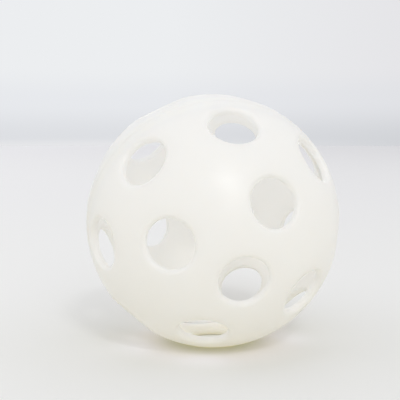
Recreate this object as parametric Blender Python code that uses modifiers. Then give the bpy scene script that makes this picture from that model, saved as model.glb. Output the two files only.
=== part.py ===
"""Floorball ball: two equal half shells full of round holes, welded at the equator.

The ball is modelled as it lies on a table, on the rim of one hole that faces straight down.
Its centre is the origin. One half shell faces -Y, the side the ball is looked at from.
"""

import math

import bmesh
import bpy

# Driving dimensions in metres
BALL_DIAMETER = 0.072
WALL = 0.0021
BORE_DIAMETER = 0.0132
RIM_ROUND = 0.0010  # rounding of each hole's outer edge
SEAM_LAND = 0.0057  # skin between the outer ring's bores and the seam
WELD_WEB = 0.0008  # weld between the two edges, measured across the seam
BEAD_WIDTH = 0.0026
BEAD_HEIGHT = 0.0006
CLEARANCE = 0.0003  # gap between the weld and each half shell

# Hole layout of one half: one hole at the pole, an inner ring and an outer ring
INNER_RING_HOLES = 4
OUTER_RING_HOLES = 8

# How the halves were welded together and how the ball lies, in degrees
WELD_TURN = 27.0
HEADING = 14.2

# Smoothness of the solids
SHELL_SEGMENTS = 48
SHELL_RINGS = 12
HOLE_SEGMENTS = 24
RIM_STEPS = 2
BEAD_STEPS = 4
SHARP_ANGLE = 40

# Sizes that follow from the driving dimensions
RIM_SHARE_OF_WALL = 0.75
OUTER_RADIUS = BALL_DIAMETER / 2
INNER_RADIUS = OUTER_RADIUS - WALL
BORE_RADIUS = BORE_DIAMETER / 2
RIM_RADIUS = min(RIM_ROUND, WALL * RIM_SHARE_OF_WALL)
SEAM_EDGE = WELD_WEB / 2 + CLEARANCE
OUTER_RING_POLAR = math.pi / 2 - (SEAM_LAND + BORE_RADIUS) / OUTER_RADIUS
INNER_RING_POLAR = OUTER_RING_POLAR / 2
MERGE_DISTANCE = 1e-6

# Colours read from the photo: warm white, slightly yellow where light passes through the wall
SHELL_COLOUR = (0.84, 0.83, 0.78, 1.0)
WELD_COLOUR = (0.82, 0.80, 0.74, 1.0)
SHELL_ROUGHNESS = 0.38
WELD_ROUGHNESS = 0.50


def clear_scene():
    """Remove every object so that only the ball is left."""
    for old in list(bpy.data.objects):
        bpy.data.objects.remove(old, do_unlink=True)


def new_collection(name):
    """Add a collection to the scene."""
    collection = bpy.data.collections.new(name)
    bpy.context.scene.collection.children.link(collection)
    return collection


def plastic(name, colour, roughness):
    """Make a plain plastic material."""
    material = bpy.data.materials.new(name)
    material.use_nodes = True
    shader = material.node_tree.nodes["Principled BSDF"]
    shader.inputs["Base Color"].default_value = colour
    shader.inputs["Roughness"].default_value = roughness
    shader.inputs["Metallic"].default_value = 0.0
    return material


def arc(centre, radius, start, end, steps):
    """Points (r, z) on an arc, with its angles in radians from the +Z direction towards +r."""
    points = []
    for step in range(steps + 1):
        angle = start + (end - start) * step / steps
        points.append((centre[0] + radius * math.sin(angle), centre[1] + radius * math.cos(angle)))
    return points


def turned(name, profile, segments, collection, closed=False):
    """Turn a profile of (r, z) points about the Z axis."""
    mesh = bpy.data.meshes.new(name)
    work = bmesh.new()
    verts = [work.verts.new((radius, 0.0, height)) for radius, height in profile]
    for first, second in zip(verts, verts[1:]):
        work.edges.new((first, second))
    if closed:
        work.edges.new((verts[-1], verts[0]))
    work.to_mesh(mesh)
    work.free()
    piece = bpy.data.objects.new(name, mesh)
    collection.objects.link(piece)
    screw = piece.modifiers.new("turn", "SCREW")
    screw.axis = "Z"
    screw.angle = math.tau
    screw.steps = segments
    screw.render_steps = segments
    screw.use_merge_vertices = True
    screw.merge_threshold = MERGE_DISTANCE
    return piece


def frozen_mesh(piece, name, material):
    """Mesh of a piece with its modifiers applied, shaded smooth up to its real edges."""
    graph = bpy.context.evaluated_depsgraph_get()
    mesh = bpy.data.meshes.new_from_object(piece.evaluated_get(graph))
    mesh.name = name
    mesh.materials.clear()
    mesh.materials.append(material)
    mesh.shade_smooth()
    mesh.set_sharp_from_angle(angle=math.radians(SHARP_ANGLE))
    return mesh


def half_profile():
    """Section of one half shell, from the outer pole down to the seam and up the inside."""
    outer_end = math.acos(SEAM_EDGE / OUTER_RADIUS)
    inner_end = math.acos(SEAM_EDGE / INNER_RADIUS)
    outside = arc((0.0, 0.0), OUTER_RADIUS, 0.0, outer_end, SHELL_RINGS)
    inside = arc((0.0, 0.0), INNER_RADIUS, inner_end, 0.0, SHELL_RINGS)
    return outside + inside


def hole_profile():
    """Section of a hole cutter at the pole: a bore whose outer edge is rounded."""
    round_r = BORE_RADIUS + RIM_RADIUS
    round_z = math.sqrt((OUTER_RADIUS - RIM_RADIUS) ** 2 - round_r ** 2)
    mouth_r = round_r + RIM_RADIUS
    top = OUTER_RADIUS + RIM_RADIUS
    bottom = INNER_RADIUS - BORE_RADIUS
    mouth = [(0.0, top), (mouth_r, top), (mouth_r, round_z + RIM_RADIUS)]
    rim = arc((round_r, round_z), RIM_RADIUS, 0.0, -math.pi / 2, RIM_STEPS)
    return mouth + rim + [(BORE_RADIUS, bottom), (0.0, bottom)]


def hole_directions():
    """Polar angle and azimuth of each hole of one half, in radians."""
    outer_pitch = math.tau / OUTER_RING_HOLES
    inner_pitch = math.tau / INNER_RING_HOLES
    first = -math.pi / 2
    directions = [(0.0, 0.0)]
    for index in range(INNER_RING_HOLES):
        directions.append((INNER_RING_POLAR, first - outer_pitch / 2 + index * inner_pitch))
    for index in range(OUTER_RING_HOLES):
        directions.append((OUTER_RING_POLAR, first + index * outer_pitch))
    return directions


def make_half_mesh(ball, cutters, material):
    """One moulded half shell with its pole at +Z and its seam in the XY plane."""
    profile = hole_profile()
    for index, (polar, azimuth) in enumerate(hole_directions()):
        cutter = turned(f"hole_cutter_{index:02d}", profile, HOLE_SEGMENTS, cutters)
        cutter.rotation_euler = (0.0, polar, azimuth)
        cutter.hide_render = True
        cutter.display_type = "WIRE"
    blank = turned("half_blank", half_profile(), SHELL_SEGMENTS, ball)
    cut = blank.modifiers.new("holes", "BOOLEAN")
    cut.operation = "DIFFERENCE"
    cut.solver = "EXACT"
    cut.operand_type = "COLLECTION"
    cut.collection = cutters
    mesh = frozen_mesh(blank, "half_shell", material)
    bpy.data.objects.remove(blank, do_unlink=True)
    return mesh


def make_bead(ball, material):
    """Weld between the halves: a web flush with the outside and a low round bead inside."""
    seat = math.sqrt(INNER_RADIUS ** 2 - (BEAD_WIDTH / 2) ** 2) - CLEARANCE
    half_web = WELD_WEB / 2
    half_bead = BEAD_WIDTH / 2
    bead = []
    for step in range(BEAD_STEPS + 1):
        across = 1 - 2 * step / BEAD_STEPS
        bead.append((seat - BEAD_HEIGHT * (1 - across ** 2), -half_bead * across))
    web = [(seat, half_web), (OUTER_RADIUS, half_web), (OUTER_RADIUS, -half_web), (seat, -half_web)]
    piece = turned("weld_blank", web + bead, SHELL_SEGMENTS, ball, closed=True)
    mesh = frozen_mesh(piece, "weld_bead", material)
    bpy.data.objects.remove(piece, do_unlink=True)
    return mesh


def place(name, mesh, collection, parent, rotation):
    """Add a piece to the ball's axis."""
    piece = bpy.data.objects.new(name, mesh)
    collection.objects.link(piece)
    piece.parent = parent
    piece.rotation_euler = rotation
    return piece


def main():
    clear_scene()
    ball = new_collection("floorball_ball")
    cutters = new_collection("cutters")
    shell_plastic = plastic("moulded_polyethylene", SHELL_COLOUR, SHELL_ROUGHNESS)
    weld_plastic = plastic("weld_polyethylene", WELD_COLOUR, WELD_ROUGHNESS)

    # The ball's axis runs through both pole holes and leans until one outer hole faces down
    axis = bpy.data.objects.new("ball_axis", None)
    ball.objects.link(axis)
    axis.rotation_euler = (math.pi - OUTER_RING_POLAR, 0.0, math.radians(HEADING))

    half = make_half_mesh(ball, cutters, shell_plastic)
    weld = make_bead(ball, weld_plastic)
    place("front_half_shell", half, ball, axis, (0.0, 0.0, 0.0))
    place("rear_half_shell", half, ball, axis, (math.pi, 0.0, math.radians(WELD_TURN)))
    place("weld_bead", weld, ball, axis, (0.0, 0.0, 0.0))


main()
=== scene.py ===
"""Floorball ball lying on a pale table: fine shells, weld, plastic, light and camera."""

import math

import bmesh
import bpy
from mathutils import Matrix, Vector
from mathutils.geometry import delaunay_2d_cdt


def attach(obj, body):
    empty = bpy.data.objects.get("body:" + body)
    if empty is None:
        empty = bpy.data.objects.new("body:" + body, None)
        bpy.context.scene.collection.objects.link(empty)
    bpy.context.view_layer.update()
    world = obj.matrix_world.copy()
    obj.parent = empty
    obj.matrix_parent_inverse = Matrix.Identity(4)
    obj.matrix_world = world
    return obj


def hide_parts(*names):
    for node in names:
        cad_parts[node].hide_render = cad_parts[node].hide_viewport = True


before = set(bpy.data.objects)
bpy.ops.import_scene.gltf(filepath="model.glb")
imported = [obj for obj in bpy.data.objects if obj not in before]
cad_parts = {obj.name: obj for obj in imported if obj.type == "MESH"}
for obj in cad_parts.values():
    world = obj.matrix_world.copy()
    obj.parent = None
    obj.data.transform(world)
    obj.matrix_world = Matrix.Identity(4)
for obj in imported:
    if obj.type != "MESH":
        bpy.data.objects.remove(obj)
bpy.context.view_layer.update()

# Sizes of the ball in metres and its angles in radians, the same as in the solids
BALL_RADIUS = 0.036
WALL = 0.0021
BORE_RADIUS = 0.0066
RIM_ROUND = 0.0010
SEAM_LAND = 0.0057
WELD_WEB = 0.0008
BEAD_WIDTH = 0.0026
BEAD_HEIGHT = 0.0006
INNER_RING_HOLES = 4
OUTER_RING_HOLES = 8
WELD_TURN = math.radians(27.0)
HEADING = math.radians(14.2)
INNER_RADIUS = BALL_RADIUS - WALL
OUTER_RING_POLAR = math.pi / 2 - (SEAM_LAND + BORE_RADIUS) / BALL_RADIUS
INNER_RING_POLAR = OUTER_RING_POLAR / 2
RIM_CENTRE = BORE_RADIUS + RIM_ROUND  # centre of a rim's rounding, from the axis of its hole

# Small roundings and gaps at the edges, finer than in the solids, in metres
INNER_ROUND = 0.0004
SEAM_ROUND = 0.00012
SEAM_GAP = 0.00002
WELD_SINK = 0.00003
WELD_ROUND = 0.00010

# Fineness of the meshes
HOLE_POINTS = 80
RIM_STEPS = 10
BORE_STEPS = 2
INNER_STEPS = 5
SEAM_POINTS = 288
SEAM_STEPS = 3
BEAD_STEPS = 14
HOLE_GUARDS = (0.00045, 0.0011, 0.0019)  # rings of points around a hole, in metres from its edge
SEAM_GUARDS = HOLE_GUARDS[:2]  # the same beside the seam
LAND_SPACING = 0.0013  # between the points on the rest of the skin, in metres
CLEAR_SHARE = 0.6  # part of that spacing that stays clear beside the last ring
GOLDEN_ANGLE = math.pi * (3.0 - math.sqrt(5.0))
CDT_TOLERANCE = 1e-9

# The ball rests on the rim of the hole that faces straight down
FLOOR_GAP = 0.00002
FLOOR_Z = -math.sqrt((BALL_RADIUS - RIM_ROUND) ** 2 - RIM_CENTRE ** 2) - RIM_ROUND - FLOOR_GAP

# Plastic: two close colours that cloud into each other, and how rough it is
SHELL_COLOURS = ((0.909, 0.909, 0.913), (0.901, 0.900, 0.902))
WELD_COLOURS = ((0.905, 0.903, 0.903), (0.897, 0.893, 0.892))
SHELL_ROUGHNESS = 0.335
WELD_ROUGHNESS = 0.48
ROUGHNESS_SPREAD = (-0.05, 0.06)
PLASTIC_IOR = 1.5

# Noises in the plastic: features per metre, detail and roughness
CLOUD_NOISE = (60.0, 3.0, 0.55)
FLOW_NOISE = (170.0, 2.0, 0.5)
HANDLED_NOISE = (420.0, 5.0, 0.6)
GRAIN_NOISE = (3200.0, 2.0, 0.5)
NOISE_MIDDLE = (0.3, 0.7)  # where most of a noise lies

# Bumps of the plastic: height in metres and strength
FLOW_BUMP = (0.00022, 0.35)
GRAIN_BUMP = (0.00002, 0.25)

# How far light scatters inside the plastic, in metres, and each colour's share of that
SCATTER = 0.010
SEAM_SCATTER = 0.0001
SCATTER_SHARES = (0.88, 0.94, 1.0)

# Distances from the middle of the seam between which the scatter fades, and painted light: a lighter, warmer
# tint on the base colour there that makes up for the shade the fading scatter leaves
FADE_END = 0.0015
FADE_START = 0.0047
SEAM_PAINTED_LIGHT = (1.04, 1.033, 1.0)

# Table that the ball lies on, and the colour that it has for the light it throws back
TABLE_RADIUS = 1.835
TABLE_POINTS = 128
TABLE_ROUGHNESS = 0.75
TABLE_SPECULAR = 0.2
TABLE_BOUNCE = (0.80, 0.765, 0.63)

# Colours that the table shows, by the distance from its middle in metres. They hold painted shade and light
# around the ball: a dark ring of painted contact shadow, a ring of painted light just outside it, painted
# shade further round, and darker towards the edge
TABLE_PAINTED_RINGS = [(0.0068, (0.90, 0.90, 0.86)), (0.0090, (0.69, 0.72, 0.73)), (0.018, (0.985, 0.970, 1.0)),
                 (0.032, (0.872, 0.872, 0.860)), (0.13, (0.915, 0.915, 0.913)), (0.62, (0.906, 0.904, 0.920)),
                 (TABLE_RADIUS, (0.865, 0.862, 0.890))]

# Painted light and shade on the table: lighter this far to the left and darker this far to the right
SIDE_REACH = 0.4
LEFT_PAINTED_LIGHT = (1.05, 1.05, 1.05)
RIGHT_PAINTED_SHADE = (0.91, 0.91, 0.91)

# Soft shade on the table behind the ball
SHADE_AT = (0.007, 0.045, 0.0)
SHADE_SIZE = (0.034, 0.095, 1.0)
SHADE_COLOUR = (0.905, 0.895, 0.88)

# Light that comes down through the milky ball and back from the table, by the same distance
GLOW_REACH = 0.030
GLOW_COLOURS = [(0.006, (0.02, 0.02, 0.01)), (0.0088, (0.24, 0.22, 0.13)), (0.018, (0.09, 0.085, 0.065)),
                (GLOW_REACH, (0.0, 0.0, 0.0))]

# Pale backdrop: directions of its lower and upper, left and right ends, and colours by share of its height.
# The colours hold painted shade: a darker band low down, and darker on the right
BACKDROP_HEIGHTS = (-0.0366, 0.068)
BACKDROP_SIDES = (-0.05, 0.22)
BACKDROP_LEFT_PAINTED_SHADE = [(0.05, (0.790, 0.795, 0.812)), (0.145, (0.727, 0.741, 0.771)),
                 (0.52, (0.800, 0.815, 0.845)), (0.90, (0.840, 0.855, 0.872))]
BACKDROP_RIGHT_PAINTED_SHADE = [(0.10, (0.638, 0.652, 0.680)), (0.55, (0.752, 0.760, 0.790)),
                  (0.90, (0.785, 0.783, 0.805))]

# Soft light from all round, and how much it grows towards +X, +Y and +Z
WORLD_COLOUR = (1.0, 1.0, 1.0)
WORLD_LEVEL = 0.805
WORLD_SLOPE = (-0.036, 0.0, 0.057)

# Lamps: degrees to the right of the camera and above the table, width and height in metres, and watts
KEY_LAMP = {"heading": 16.0, "elevation": 41.0, "size": (0.68, 0.24), "power": 16.96}
FILL_LAMP = {"heading": 20.0, "elevation": 26.0, "size": (1.2, 1.2), "power": 9.12}
LAMP_DISTANCE = 4.0
LAMP_COLOUR = (0.99, 1.0, 1.01)

# Small lamps in the hollow, in metres and watts
SOAKED_LAMP = {"centre": (0.0, 0.0, 0.003), "radius": 0.022, "power": 0.0050, "colour": (0.99, 0.99, 1.03)}
LOW_LAMP = {"centre": (0.0, 0.004, -0.024), "radius": 0.004, "power": 0.00020, "colour": (1.0, 0.94, 0.66)}

# Bounces that the light in the hollow needs
MAX_BOUNCES = 16
DIFFUSE_BOUNCES = 12

# Camera. Its focal length and the ball's place are in pixels of a square picture.
PICTURE = 400
FOCAL_PIXELS = 880.6
BALL_AT = (212.7, 220.3)
SENSOR = 36.0  # millimetres
CAMERA_DISTANCE = 0.253  # metres
CAMERA_ELEVATION = 6.65  # degrees
CLIP_START = 0.01  # metres
CLIP_END = 20.0

# Pole of a half before the half is placed, and the turn that leaves it there
POLE = Vector((0.0, 0.0, 1.0))
UPRIGHT = Matrix.Identity(3)

# Sockets of a mix node that hold colours
MIX_INPUTS = (6, 7)
MIX_OUTPUT = 2


def add_object(name, data):
    """Add an object to the scene."""
    thing = bpy.data.objects.new(name, data)
    bpy.context.scene.collection.objects.link(thing)
    return thing


def arc(centre, radius, start, end, steps):
    """Points (r, z) on an arc, with its angles in radians from the +Z direction towards +r."""
    points = []
    for step in range(steps + 1):
        angle = start + (end - start) * step / steps
        points.append((centre[0] + radius * math.sin(angle), centre[1] + radius * math.cos(angle)))
    return points


def circle(turn, radius, height, count, shift=0.0):
    """Points of a circle about a turned Z axis."""
    points = []
    for index in range(count):
        angle = math.tau * (index + shift) / count
        points.append(turn @ Vector((radius * math.cos(angle), radius * math.sin(angle), height)))
    return points


def hole_turns():
    """Turn from the pole to each hole of one half, as a matrix."""
    outer_pitch = math.tau / OUTER_RING_HOLES
    inner_pitch = math.tau / INNER_RING_HOLES
    first = -math.pi / 2
    directions = [(0.0, 0.0)]
    for index in range(INNER_RING_HOLES):
        directions.append((INNER_RING_POLAR, first - outer_pitch / 2 + index * inner_pitch))
    for index in range(OUTER_RING_HOLES):
        directions.append((OUTER_RING_POLAR, first + index * outer_pitch))
    turns = []
    for polar, azimuth in directions:
        turns.append(Matrix.Rotation(azimuth, 3, "Z") @ Matrix.Rotation(polar, 3, "Y"))
    return turns


def hole_profile():
    """Section of a hole from the outside to the inside, both edges rounded."""
    outer_reach = BALL_RADIUS - RIM_ROUND
    outer_z = math.sqrt(outer_reach ** 2 - RIM_CENTRE ** 2)
    outer_start = math.asin(RIM_CENTRE / outer_reach)
    outer = arc((RIM_CENTRE, outer_z), RIM_ROUND, outer_start, -math.pi / 2, RIM_STEPS)
    inner_r = BORE_RADIUS + INNER_ROUND
    inner_reach = INNER_RADIUS + INNER_ROUND
    inner_z = math.sqrt(inner_reach ** 2 - inner_r ** 2)
    inner_end = math.asin(inner_r / inner_reach) - math.pi
    inner = arc((inner_r, inner_z), INNER_ROUND, -math.pi / 2, inner_end, INNER_STEPS)
    bore = []
    for step in range(1, BORE_STEPS):
        height = outer_z + (inner_z - outer_z) * step / BORE_STEPS
        bore.append((BORE_RADIUS, height))
    return outer + bore + inner


def seam_profile():
    """Section of the half's edge at the seam from the outside to the inside."""
    height = WELD_WEB / 2 + SEAM_GAP + SEAM_ROUND
    outer_r = math.sqrt((BALL_RADIUS - SEAM_ROUND) ** 2 - height ** 2)
    inner_r = math.sqrt((INNER_RADIUS + SEAM_ROUND) ** 2 - height ** 2)
    outer_start = math.atan2(outer_r, height)
    inner_end = math.atan2(inner_r, height) + math.pi
    outer = arc((outer_r, height), SEAM_ROUND, outer_start, math.pi, SEAM_STEPS)
    inner = arc((inner_r, height), SEAM_ROUND, math.pi, inner_end, SEAM_STEPS)
    return outer + inner


def weld_profile():
    """Section of the weld: a web that fills the seam and a low round bead inside."""
    half_web = WELD_WEB / 2
    crown = BALL_RADIUS - WELD_SINK - WELD_ROUND
    seat = math.sqrt(INNER_RADIUS ** 2 - (BEAD_WIDTH / 2) ** 2) - SEAM_GAP
    upper = (crown, half_web - WELD_ROUND)
    lower = (crown, WELD_ROUND - half_web)
    profile = [(seat, half_web)]
    profile += arc(upper, WELD_ROUND, 0.0, math.pi / 2, SEAM_STEPS)
    profile += arc(lower, WELD_ROUND, math.pi / 2, math.pi, SEAM_STEPS)
    profile.append((seat, -half_web))
    for step in range(BEAD_STEPS + 1):
        across = 1.0 - 2.0 * step / BEAD_STEPS
        rise = BEAD_HEIGHT * (1.0 - across ** 2) ** 2
        profile.append((seat - rise, -BEAD_WIDTH / 2 * across))
    return profile


def add_rings(work, turn, profile, count):
    """Turn a profile of (r, z) points about a turned Z axis, as rings of vertices."""
    rings = []
    for radius, height in profile:
        rings.append([work.verts.new(point) for point in circle(turn, radius, height, count)])
    return rings


def join_rings(work, rings):
    """Add faces between rings that follow each other."""
    for upper, lower in zip(rings, rings[1:]):
        count = len(upper)
        for index in range(count):
            after = (index + 1) % count
            work.faces.new((upper[index], upper[after], lower[after], lower[index]))


def to_plane(direction):
    """Flat image of a direction, seen from the pole on the far side."""
    return Vector((direction.x, direction.y)) / (1.0 + direction.z)


def guard_rings(turn, edge_angle, offsets, radius, count):
    """Directions on rings beside an edge, with every other ring turned by half a step."""
    directions = []
    for level, offset in enumerate(offsets):
        angle = edge_angle + offset / radius
        shift = 0.5 * ((level + 1) % 2)
        directions += circle(turn, math.sin(angle), math.cos(angle), count, shift)
    return directions


def fill_directions(radius, turns, hole_angle, seam_angle):
    """Directions of the points that fill the skin between the holes and the seam."""
    directions = []
    for turn in turns:
        directions += guard_rings(turn, hole_angle, HOLE_GUARDS, radius, HOLE_POINTS)
    seam_offsets = [-offset for offset in SEAM_GUARDS]
    directions += guard_rings(UPRIGHT, seam_angle, seam_offsets, radius, SEAM_POINTS)
    step = LAND_SPACING / radius
    hole_limit = math.cos(hole_angle + HOLE_GUARDS[-1] / radius + CLEAR_SHARE * step)
    seam_limit = math.cos(seam_angle - SEAM_GUARDS[-1] / radius - CLEAR_SHARE * step)
    axes = [turn @ POLE for turn in turns]
    cell = step ** 2 * math.sqrt(3.0) / 2.0
    count = int(math.tau / cell)
    for index in range(count):
        height = 1.0 - (index + 0.5) / count
        reach = math.sqrt(1.0 - height ** 2)
        angle = GOLDEN_ANGLE * index
        direction = Vector((reach * math.cos(angle), reach * math.sin(angle), height))
        if height < seam_limit:
            continue
        if any(direction.dot(axis) > hole_limit for axis in axes):
            continue
        directions.append(direction)
    return directions


def add_skin(work, radius, turns, hole_rings, seam_ring):
    """Triangulate one face of the shell between the hole rings and the seam ring."""
    hole_angle = (turns[0] @ POLE).angle(hole_rings[0][0].co)
    seam_angle = POLE.angle(seam_ring[0].co)
    verts = []
    owners = []
    edges = []
    for owner, ring in enumerate(hole_rings + [seam_ring]):
        first = len(verts)
        verts += ring
        owners += [owner] * len(ring)
        for index in range(len(ring)):
            edges.append((first + index, first + (index + 1) % len(ring)))
    for direction in fill_directions(radius, turns, hole_angle, seam_angle):
        verts.append(work.verts.new(direction * radius))
        owners.append(None)
    flat = [to_plane(vert.co.normalized()) for vert in verts]
    result = delaunay_2d_cdt(flat, edges, [], 0, CDT_TOLERANCE)
    faces = result[2]
    origins = result[3]
    for face in faces:
        corners = [origins[corner][0] for corner in face]
        held_by = {owners[corner] for corner in corners}
        if len(held_by) == 1 and None not in held_by:
            continue
        work.faces.new([verts[corner] for corner in corners])


def finished_mesh(work, name):
    """Turn the working mesh into a smooth mesh whose faces look outwards."""
    bmesh.ops.recalc_face_normals(work, faces=work.faces)
    mesh = bpy.data.meshes.new(name)
    work.to_mesh(mesh)
    work.free()
    mesh.shade_smooth()
    return mesh


def half_mesh(name):
    """One half shell with its pole at +Z, every edge rounded."""
    work = bmesh.new()
    turns = hole_turns()
    profile = hole_profile()
    outer_rings = []
    inner_rings = []
    for turn in turns:
        rings = add_rings(work, turn, profile, HOLE_POINTS)
        join_rings(work, rings)
        outer_rings.append(rings[0])
        inner_rings.append(rings[-1])
    seam = add_rings(work, UPRIGHT, seam_profile(), SEAM_POINTS)
    join_rings(work, seam)
    add_skin(work, BALL_RADIUS, turns, outer_rings, seam[0])
    add_skin(work, INNER_RADIUS, turns, inner_rings, seam[-1])
    return finished_mesh(work, name)


def weld_mesh(name):
    """Weld ring between the halves."""
    work = bmesh.new()
    rings = add_rings(work, UPRIGHT, weld_profile(), SEAM_POINTS)
    join_rings(work, rings + rings[:1])
    return finished_mesh(work, name)


def place(name, mesh, turn, material, node):
    """Put a piece where its solid is and let it stand for that solid."""
    placed = mesh.copy()
    placed.name = name
    placed.transform(turn.to_4x4())
    placed.materials.clear()
    placed.materials.append(material)
    piece = add_object(name, placed)
    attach(piece, "root")
    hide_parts(node)


def feed(tree, value, socket):
    """Give a socket a plain value, or link it to an output."""
    if isinstance(value, bpy.types.NodeSocket):
        tree.links.new(value, socket)
    else:
        socket.default_value = value


def add_node(tree, kind, **inputs):
    """Add a shader node and feed its named inputs."""
    node = tree.nodes.new(kind)
    for name, value in inputs.items():
        feed(tree, value, node.inputs[name.replace("_", " ")])
    return node


def calculate(tree, operation, *values):
    """Result of a calculation with numbers. Each value is a number or an output."""
    node = tree.nodes.new("ShaderNodeMath")
    node.operation = operation
    for value, socket in zip(values, node.inputs):
        feed(tree, value, socket)
    return node.outputs[0]


def calculate_vector(tree, operation, *values):
    """Result of a calculation with vectors. Each value is a vector or an output."""
    node = tree.nodes.new("ShaderNodeVectorMath")
    node.operation = operation
    for value, socket in zip(values, node.inputs):
        feed(tree, value, socket)
    gives_number = operation in ("DOT_PRODUCT", "LENGTH")
    return node.outputs["Value" if gives_number else "Vector"]


def map_range(tree, value, source, target=(0.0, 1.0), interpolation="LINEAR"):
    """Map a value from a source range to a target range, and hold it there."""
    node = add_node(tree, "ShaderNodeMapRange", Value=value, From_Min=source[0], From_Max=source[1],
                    To_Min=target[0], To_Max=target[1])
    node.interpolation_type = interpolation
    return node.outputs["Result"]


def mix_colours(tree, factor, first, second, blend="MIX"):
    """Mix two colours by a factor. Each colour is three numbers or an output."""
    node = tree.nodes.new("ShaderNodeMix")
    node.data_type = "RGBA"
    node.blend_type = blend
    feed(tree, factor, node.inputs["Factor"])
    for colour, index in zip((first, second), MIX_INPUTS):
        if isinstance(colour, tuple):
            colour = (*colour, 1.0)
        feed(tree, colour, node.inputs[index])
    return node.outputs[MIX_OUTPUT]


def ramp(tree, value, stops):
    """Colour ramp with soft steps."""
    node = tree.nodes.new("ShaderNodeValToRGB")
    node.color_ramp.interpolation = "EASE"
    elements = node.color_ramp.elements
    while len(elements) < len(stops):
        elements.new(0.5)  # it gets its own position below
    for element, (position, colour) in zip(elements, stops):
        element.position = position
        element.color = (*colour, 1.0)
    feed(tree, value, node.inputs[0])
    return node.outputs[0]


def noise(tree, coordinates, scale, detail, roughness):
    """Noise in the ball's own space. The scale is in features per metre."""
    node = add_node(tree, "ShaderNodeTexNoise", Vector=coordinates, Scale=scale, Detail=detail,
                    Roughness=roughness)
    return node.outputs[0]


def bump(tree, height, distance, strength, normal=None):
    """Raise the surface by a height map, on top of another bump. The distance is in metres."""
    node = add_node(tree, "ShaderNodeBump", Height=height, Distance=distance, Strength=strength)
    if normal is not None:
        feed(tree, normal, node.inputs["Normal"])
    return node.outputs["Normal"]


def seam_nearness(tree, coordinates, seam_axis):
    """1 at the seam, fading to 0 away from it."""
    height = calculate_vector(tree, "DOT_PRODUCT", coordinates, seam_axis)
    distance = calculate(tree, "ABSOLUTE", height)
    return map_range(tree, distance, (FADE_START, FADE_END), interpolation="SMOOTHSTEP")


def plastic(name, colours, roughness, seam_axis):
    """Milky moulded plastic that lets some light through its wall.

    Light that scatters inside a piece is lost where it leaves through the hidden face at the seam,
    so the scatter distance shrinks towards the seam, and painted light in the base colour lifts the band
    there.
    """
    material = bpy.data.materials.new(name)
    material.use_nodes = True
    tree = material.node_tree
    inputs = tree.nodes["Principled BSDF"].inputs
    coordinates = tree.nodes.new("ShaderNodeTexCoord").outputs["Object"]
    near_seam = seam_nearness(tree, coordinates, seam_axis)

    cloud = map_range(tree, noise(tree, coordinates, *CLOUD_NOISE), NOISE_MIDDLE)
    clouds = mix_colours(tree, cloud, *colours)
    # Painted light: the base colour is lighter and warmer towards the seam, making up for the fading scatter
    feed(tree, mix_colours(tree, near_seam, clouds, SEAM_PAINTED_LIGHT, "MULTIPLY"), inputs["Base Color"])

    handled = noise(tree, coordinates, *HANDLED_NOISE)
    rough_range = [roughness + change for change in ROUGHNESS_SPREAD]
    feed(tree, map_range(tree, handled, NOISE_MIDDLE, rough_range), inputs["Roughness"])

    waves = bump(tree, noise(tree, coordinates, *FLOW_NOISE), *FLOW_BUMP)
    fine = bump(tree, noise(tree, coordinates, *GRAIN_NOISE), *GRAIN_BUMP, normal=waves)
    feed(tree, fine, inputs["Normal"])

    scatter = map_range(tree, near_seam, (0.0, 1.0), (SCATTER, SEAM_SCATTER))
    feed(tree, scatter, inputs["Subsurface Scale"])
    inputs["Subsurface Radius"].default_value = SCATTER_SHARES
    inputs["Subsurface Weight"].default_value = 1.0
    inputs["IOR"].default_value = PLASTIC_IOR
    return material


def make_ball():
    """Two half shells and the weld between them."""
    axis = Matrix.Rotation(HEADING, 3, "Z") @ Matrix.Rotation(math.pi - OUTER_RING_POLAR, 3, "X")
    rear = axis @ Matrix.Rotation(WELD_TURN, 3, "Z") @ Matrix.Rotation(math.pi, 3, "X")
    seam_axis = axis @ POLE
    shell = plastic("shell_plastic", SHELL_COLOURS, SHELL_ROUGHNESS, seam_axis)
    weld = plastic("weld_plastic", WELD_COLOURS, WELD_ROUGHNESS, seam_axis)
    half = half_mesh("half")
    ring = weld_mesh("ring")
    place("front_shell", half, axis, shell, "front_half_shell")
    place("rear_shell", half, rear, shell, "rear_half_shell")
    place("weld_seam", ring, axis, weld, "weld_bead")


def seen_rays(tree):
    """1 for the rays that show the stage itself: to the camera, in gloss and through glass."""
    path = tree.nodes.new("ShaderNodeLightPath")
    seen = path.outputs["Is Camera Ray"]
    for kind in ("Is Glossy Ray", "Is Transmission Ray"):
        seen = calculate(tree, "MAXIMUM", seen, path.outputs[kind])
    return seen


def ring_colour(tree, distance, reach, colours):
    """Colour by the distance from the middle. Roots of the distance give the near rings more room."""
    root = calculate(tree, "SQRT", map_range(tree, distance, (0.0, reach)))
    stops = [(math.sqrt(radius / reach), colour) for radius, colour in colours]
    return ramp(tree, root, stops)


def table_shade(tree, coordinates):
    """How deep the ball's soft shade is on the table behind it."""
    offset = calculate_vector(tree, "SUBTRACT", coordinates, SHADE_AT)
    share = calculate_vector(tree, "DIVIDE", offset, SHADE_SIZE)
    far = calculate_vector(tree, "LENGTH", share)
    return map_range(tree, far, (1.0, 0.0), interpolation="SMOOTHSTEP")


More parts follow.
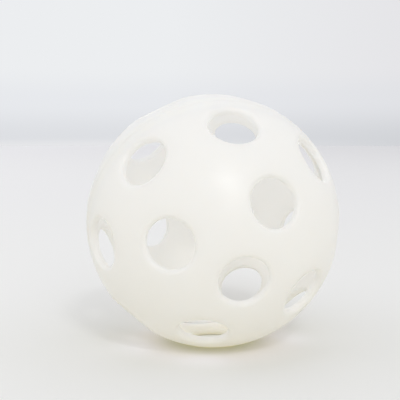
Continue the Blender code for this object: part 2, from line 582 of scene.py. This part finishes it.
def table_paint():
    """Pale matt paint that looks grey white and throws back slightly warm light.

    Under the ball it also throws back the light that comes down through the milky wall,
    which the bounces leave out.
    """
    material = bpy.data.materials.new("table_paint")
    material.use_nodes = True
    tree = material.node_tree
    inputs = tree.nodes["Principled BSDF"].inputs
    coordinates = tree.nodes.new("ShaderNodeTexCoord").outputs["Object"]
    across = add_node(tree, "ShaderNodeSeparateXYZ", Vector=coordinates).outputs["X"]
    distance = calculate_vector(tree, "LENGTH", coordinates)
    seen = seen_rays(tree)

    # Painted shade and painted light by the distance from the point under the ball
    rings = ring_colour(tree, distance, TABLE_RADIUS, TABLE_PAINTED_RINGS)
    # Painted light on the left of the table and painted shade on the right
    side = map_range(tree, across, (-SIDE_REACH, SIDE_REACH))
    lit = mix_colours(tree, 1.0, rings, mix_colours(tree, side, LEFT_PAINTED_LIGHT, RIGHT_PAINTED_SHADE), "MULTIPLY")
    top = mix_colours(tree, table_shade(tree, coordinates), lit, SHADE_COLOUR, "MULTIPLY")
    feed(tree, mix_colours(tree, seen, TABLE_BOUNCE, top), inputs["Base Color"])

    glow = ring_colour(tree, distance, GLOW_REACH, GLOW_COLOURS)
    feed(tree, mix_colours(tree, seen, glow, (0.0, 0.0, 0.0)), inputs["Emission Color"])
    inputs["Emission Strength"].default_value = 1.0
    inputs["Roughness"].default_value = TABLE_ROUGHNESS
    inputs["Specular IOR Level"].default_value = TABLE_SPECULAR
    return material


def make_table():
    """Round table top under the ball."""
    corners = circle(UPRIGHT, TABLE_RADIUS, 0.0, TABLE_POINTS)
    mesh = bpy.data.meshes.new("table")
    mesh.from_pydata([tuple(corner) for corner in corners], [], [tuple(range(TABLE_POINTS))])
    mesh.materials.append(table_paint())
    table = add_object("table", mesh)
    table.location = (0.0, 0.0, FLOOR_Z)


def make_world():
    """Soft light from all round. Behind the table the camera sees a pale backdrop."""
    world = bpy.data.worlds.new("daylight")
    world.use_nodes = True
    tree = world.node_tree
    direction = tree.nodes.new("ShaderNodeTexCoord").outputs["Generated"]
    light = tree.nodes["Background"]
    light.inputs["Color"].default_value = (*WORLD_COLOUR, 1.0)
    growth = calculate_vector(tree, "DOT_PRODUCT", direction, WORLD_SLOPE)
    feed(tree, calculate(tree, "ADD", growth, WORLD_LEVEL), light.inputs["Strength"])

    parts = add_node(tree, "ShaderNodeSeparateXYZ", Vector=direction).outputs
    height = map_range(tree, parts["Z"], BACKDROP_HEIGHTS)
    side = map_range(tree, parts["X"], BACKDROP_SIDES)
    # Painted shade on the backdrop: a darker band low down, and darker towards the right
    left = ramp(tree, height, BACKDROP_LEFT_PAINTED_SHADE)
    right = ramp(tree, height, BACKDROP_RIGHT_PAINTED_SHADE)
    backdrop = add_node(tree, "ShaderNodeBackground", Color=mix_colours(tree, side, left, right))

    shown = add_node(tree, "ShaderNodeMixShader", Fac=seen_rays(tree))
    feed(tree, light.outputs[0], shown.inputs[1])
    feed(tree, backdrop.outputs[0], shown.inputs[2])
    feed(tree, shown.outputs[0], tree.nodes["World Output"].inputs["Surface"])
    bpy.context.scene.world = world


def towards(heading, elevation):
    """Direction from the ball, by degrees to the right of the camera and above the table."""
    turn = math.radians(heading)
    rise = math.radians(elevation)
    flat = math.cos(rise)
    return Vector((math.sin(turn) * flat, -math.cos(turn) * flat, math.sin(rise)))


def make_lamp(name, heading, elevation, size, power):
    """Soft oval lamp that looks at the ball."""
    data = bpy.data.lights.new(name, "AREA")
    data.shape = "ELLIPSE"
    data.size, data.size_y = size
    data.energy = power
    data.color = LAMP_COLOUR
    lamp = add_object(name, data)
    direction = towards(heading, elevation)
    lamp.location = direction * LAMP_DISTANCE
    lamp.rotation_euler = direction.to_track_quat("Z", "Y").to_euler()


def make_inner_lamp(name, centre, radius, power, colour):
    """Light that soaks through the milky wall and brightens the hollow, which bounces leave out."""
    data = bpy.data.lights.new(name, "POINT")
    data.energy = power
    data.color = colour
    data.shadow_soft_size = radius
    lamp = add_object(name, data)
    lamp.location = centre
    lamp.visible_camera = False
    lamp.visible_glossy = False


def make_camera():
    """Camera just above table height, with the ball where the picture has it."""
    data = bpy.data.cameras.new("camera")
    data.sensor_width = SENSOR
    data.lens = FOCAL_PIXELS / PICTURE * SENSOR
    data.clip_start = CLIP_START
    data.clip_end = CLIP_END
    camera = add_object("camera", data)
    camera.location = towards(0.0, CAMERA_ELEVATION) * CAMERA_DISTANCE
    rise = math.radians(CAMERA_ELEVATION)
    up = Vector((0.0, math.sin(rise), math.cos(rise)))
    right = Vector((1.0, 0.0, 0.0))
    pixel = CAMERA_DISTANCE / FOCAL_PIXELS
    aim = up * ((BALL_AT[1] - PICTURE / 2) * pixel) - right * ((BALL_AT[0] - PICTURE / 2) * pixel)
    camera.rotation_euler = (aim - camera.location).to_track_quat("-Z", "Y").to_euler()
    bpy.context.scene.camera = camera


make_ball()
make_table()
make_world()
make_lamp("key", **KEY_LAMP)
make_lamp("fill", **FILL_LAMP)
make_inner_lamp("soaked_light", **SOAKED_LAMP)
make_inner_lamp("low_glow", **LOW_LAMP)
make_camera()

scene = bpy.context.scene
scene.view_settings.view_transform = "Standard"
scene.cycles.max_bounces = MAX_BOUNCES
scene.cycles.diffuse_bounces = DIFFUSE_BOUNCES
